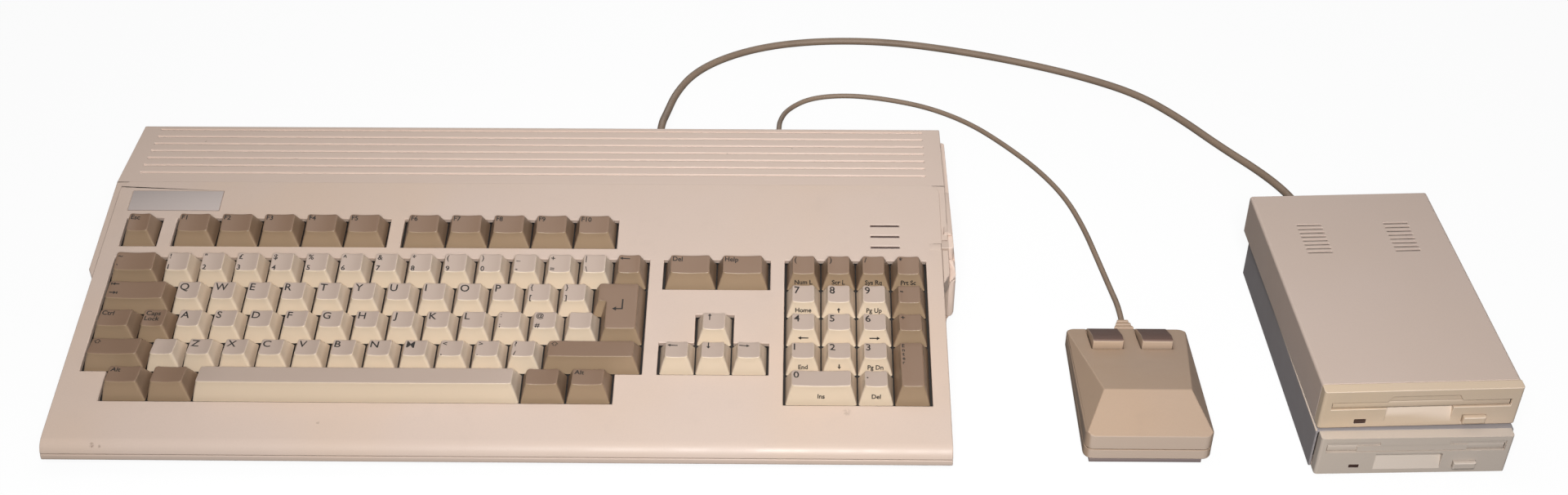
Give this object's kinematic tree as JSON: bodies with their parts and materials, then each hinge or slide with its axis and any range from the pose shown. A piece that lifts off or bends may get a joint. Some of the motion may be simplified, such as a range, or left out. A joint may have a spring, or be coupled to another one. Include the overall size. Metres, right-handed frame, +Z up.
{
  "type": "vintage home computer",
  "caption": "Wedge-shaped home computer with built-in keyboard and side disk drive, a two-button ball mouse and two stacked external disk drives on leads.",
  "frame": {"origin": "middle of the underside of the whole set, on the desk, leads left out", "axes": "+X to the typist's right along the row of pieces, +Y to the rear, +Z up"},
  "size_m": [0.7564, 0.416, 0.0547],
  "materials": {
    "case": "fine grained, aged beige ABS",
    "key_cream": "fine grained, cream",
    "key_brown": "fine grained, grey-brown",
    "dark_plastic": "dark moulded",
    "contact_sheet": "film on a steel backing",
    "board": "green lacquered board",
    "sheet_metal": "zinc plated",
    "socket_metal": "tin plated",
    "lamp_lens": "tinted, unlit",
    "foot_rubber": "matte black",
    "ball_rubber": "matte grey over steel",
    "drive_cover": "satin beige paint",
    "drive_bezel": "fine grained, yellowed",
    "grey_bezel": "fine grained, greyish beige",
    "mouse_shell": "fine grained, tan",
    "mouse_button": "fine grained, dark tan",
    "roller_plastic": "white moulded",
    "plug_plastic": "moulded",
    "lead_jacket": "soft PVC, tan-grey"
  },
  "bodies": {
    "root": {"upper_case": "case", "lower_case": "case", "trapdoor_cover": "case", "case_screws": "socket_metal", "main_board": "board", "rf_shield": "sheet_metal", "keyboard_plate": "dark_plastic", "keyboard_mat": "contact_sheet", "status_lights": "lamp_lens", "socket_shells": "socket_metal", "socket_inserts": "dark_plastic", "rubber_feet": "foot_rubber", "drive_gland": "dark_plastic", "drive_lamps": "lamp_lens", "console_drive_bezel": "case", "console_drive_works": "sheet_metal", "lower_drive_cover": "drive_cover", "lower_drive_base": "drive_cover", "lower_drive_bezel": "grey_bezel", "lower_drive_works": "sheet_metal", "upper_drive_cover": "drive_cover", "upper_drive_base": "drive_cover", "upper_drive_bezel": "drive_bezel", "upper_drive_works": "sheet_metal", "mouse_top": "mouse_shell", "mouse_base": "mouse_shell", "mouse_board": "board", "mouse_relief": "mouse_shell", "drive_plug": "plug_plastic", "mouse_plug": "plug_plastic", "drive_lead": "lead_jacket", "mouse_lead": "lead_jacket"},
    "function_keys": {"function_keys": "key_brown"},
    "number_keys": {"number_keys": "key_cream"},
    "upper_letter_keys": {"upper_letter_keys": "key_cream"},
    "home_letter_keys": {"home_letter_keys": "key_cream"},
    "lower_letter_keys": {"lower_letter_keys": "key_cream"},
    "edge_keys": {"edge_keys": "key_brown"},
    "shift_keys": {"shift_keys": "key_brown"},
    "space_bar": {"space_bar": "key_cream"},
    "side_bar_keys": {"side_bar_keys": "key_brown"},
    "return_key": {"return_key": "key_brown"},
    "edit_keys": {"edit_keys": "key_brown"},
    "arrow_keys": {"arrow_keys": "key_cream"},
    "pad_sign_keys": {"pad_sign_keys": "key_brown"},
    "pad_digit_keys": {"pad_digit_keys": "key_cream"},
    "pad_enter_key": {"pad_enter_key": "key_brown"},
    "console_flap": {"console_drive_flap": "case"},
    "console_eject": {"console_drive_button": "case"},
    "lower_flap": {"lower_drive_flap": "grey_bezel"},
    "lower_eject": {"lower_drive_button": "grey_bezel"},
    "upper_flap": {"upper_drive_flap": "drive_bezel"},
    "upper_eject": {"upper_drive_button": "drive_bezel"},
    "left_button": {"mouse_left_button": "mouse_button"},
    "right_button": {"mouse_right_button": "mouse_button"},
    "ball": {"mouse_ball": "ball_rubber"},
    "long_roller": {"mouse_long_roller": "roller_plastic"},
    "cross_roller": {"mouse_cross_roller": "roller_plastic"},
    "ball_ring": {"mouse_ball_ring": "dark_plastic"}
  },
  "joints": [
    {"name": "function_keys_press", "type": "slide", "parent": "root", "child": "function_keys", "axis": [0, 0.2055, -0.9787], "range_m": [0, 0.0035], "stiffness_N_per_m": 300, "springref_m": -0.003},
    {"name": "number_keys_press", "type": "slide", "parent": "root", "child": "number_keys", "axis": [0, 0.2055, -0.9787], "range_m": [0, 0.0035], "stiffness_N_per_m": 300, "springref_m": -0.003},
    {"name": "upper_letter_keys_press", "type": "slide", "parent": "root", "child": "upper_letter_keys", "axis": [0, 0.2055, -0.9787], "range_m": [0, 0.0035], "stiffness_N_per_m": 300, "springref_m": -0.003},
    {"name": "home_letter_keys_press", "type": "slide", "parent": "root", "child": "home_letter_keys", "axis": [0, 0.2055, -0.9787], "range_m": [0, 0.0035], "stiffness_N_per_m": 300, "springref_m": -0.003},
    {"name": "lower_letter_keys_press", "type": "slide", "parent": "root", "child": "lower_letter_keys", "axis": [0, 0.2055, -0.9787], "range_m": [0, 0.0035], "stiffness_N_per_m": 300, "springref_m": -0.003},
    {"name": "edge_keys_press", "type": "slide", "parent": "root", "child": "edge_keys", "axis": [0, 0.2055, -0.9787], "range_m": [0, 0.0035], "stiffness_N_per_m": 300, "springref_m": -0.003},
    {"name": "shift_keys_press", "type": "slide", "parent": "root", "child": "shift_keys", "axis": [0, 0.2055, -0.9787], "range_m": [0, 0.0035], "stiffness_N_per_m": 300, "springref_m": -0.003},
    {"name": "space_bar_press", "type": "slide", "parent": "root", "child": "space_bar", "axis": [0, 0.2055, -0.9787], "range_m": [0, 0.0035], "stiffness_N_per_m": 300, "springref_m": -0.003},
    {"name": "side_bar_keys_press", "type": "slide", "parent": "root", "child": "side_bar_keys", "axis": [0, 0.2055, -0.9787], "range_m": [0, 0.0035], "stiffness_N_per_m": 300, "springref_m": -0.003},
    {"name": "return_key_press", "type": "slide", "parent": "root", "child": "return_key", "axis": [0, 0.2055, -0.9787], "range_m": [0, 0.0035], "stiffness_N_per_m": 300, "springref_m": -0.003},
    {"name": "edit_keys_press", "type": "slide", "parent": "root", "child": "edit_keys", "axis": [0, 0.2055, -0.9787], "range_m": [0, 0.0035], "stiffness_N_per_m": 300, "springref_m": -0.003},
    {"name": "arrow_keys_press", "type": "slide", "parent": "root", "child": "arrow_keys", "axis": [0, 0.2055, -0.9787], "range_m": [0, 0.0035], "stiffness_N_per_m": 300, "springref_m": -0.003},
    {"name": "pad_sign_keys_press", "type": "slide", "parent": "root", "child": "pad_sign_keys", "axis": [0, 0.2055, -0.9787], "range_m": [0, 0.0035], "stiffness_N_per_m": 300, "springref_m": -0.003},
    {"name": "pad_digit_keys_press", "type": "slide", "parent": "root", "child": "pad_digit_keys", "axis": [0, 0.2055, -0.9787], "range_m": [0, 0.0035], "stiffness_N_per_m": 300, "springref_m": -0.003},
    {"name": "pad_enter_key_press", "type": "slide", "parent": "root", "child": "pad_enter_key", "axis": [0, 0.2055, -0.9787], "range_m": [0, 0.0035], "stiffness_N_per_m": 300, "springref_m": -0.003},
    {"name": "console_flap_swing", "type": "hinge", "parent": "root", "child": "console_flap", "pos_m": [0.09754, 0.06015, 0.0363], "axis": [0, 1, 0], "range_deg": [0, 80], "stiffness_Nm_per_rad": 0.0003, "springref_deg": -17.19},
    {"name": "console_eject_press", "type": "slide", "parent": "root", "child": "console_eject", "axis": [-1, 0, 0], "range_m": [0, 0.0035], "stiffness_N_per_m": 300, "springref_m": -0.003},
    {"name": "lower_flap_swing", "type": "hinge", "parent": "root", "child": "lower_flap", "pos_m": [0.32754, -0.11736, 0.0224], "axis": [0.9995, 0.0314, 0], "range_deg": [0, 80], "stiffness_Nm_per_rad": 0.0003, "springref_deg": -17.19},
    {"name": "lower_eject_press", "type": "slide", "parent": "root", "child": "lower_eject", "axis": [-0.0314, 0.9995, 0], "range_m": [0, 0.0035], "stiffness_N_per_m": 300, "springref_m": -0.003},
    {"name": "upper_flap_swing", "type": "hinge", "parent": "root", "child": "upper_flap", "pos_m": [0.32768, -0.10966, 0.0454], "axis": [0.999, 0.0454, 0], "range_deg": [0, 80], "stiffness_Nm_per_rad": 0.0003, "springref_deg": -17.19},
    {"name": "upper_eject_press", "type": "slide", "parent": "root", "child": "upper_eject", "axis": [-0.0454, 0.999, 0], "range_m": [0, 0.0035], "stiffness_N_per_m": 300, "springref_m": -0.003},
    {"name": "left_click", "type": "hinge", "parent": "root", "child": "left_button", "pos_m": [0.18114, -0.04385, 0.0131], "axis": [-1, 0, 0], "range_deg": [0, 3], "stiffness_Nm_per_rad": 0.2, "springref_deg": -2.86},
    {"name": "right_click", "type": "hinge", "parent": "root", "child": "right_button", "pos_m": [0.20774, -0.04385, 0.0131], "axis": [-1, 0, 0], "range_deg": [0, 3], "stiffness_Nm_per_rad": 0.2, "springref_deg": -2.86},
    {"name": "ball_roll", "type": "hinge", "parent": "root", "child": "ball", "pos_m": [0.19454, -0.07885, 0.0113], "axis": [1, 0, 0], "continuous": true},
    {"name": "long_roller_spin", "type": "hinge", "parent": "root", "child": "long_roller", "pos_m": [0.19454, -0.06575, 0.0113], "axis": [1, 0, 0], "continuous": true},
    {"name": "cross_roller_spin", "type": "hinge", "parent": "root", "child": "cross_roller", "pos_m": [0.20764, -0.07885, 0.0113], "axis": [0, 1, 0], "continuous": true},
    {"name": "ball_ring_turn", "type": "hinge", "parent": "root", "child": "ball_ring", "pos_m": [0.19454, -0.07885, 0.001], "axis": [0, 0, 1], "range_deg": [0, 20]}
  ],
  "couplings": [
    {"joint": "long_roller_spin", "follows": "ball_roll", "ratio": -5.5}
  ]
}
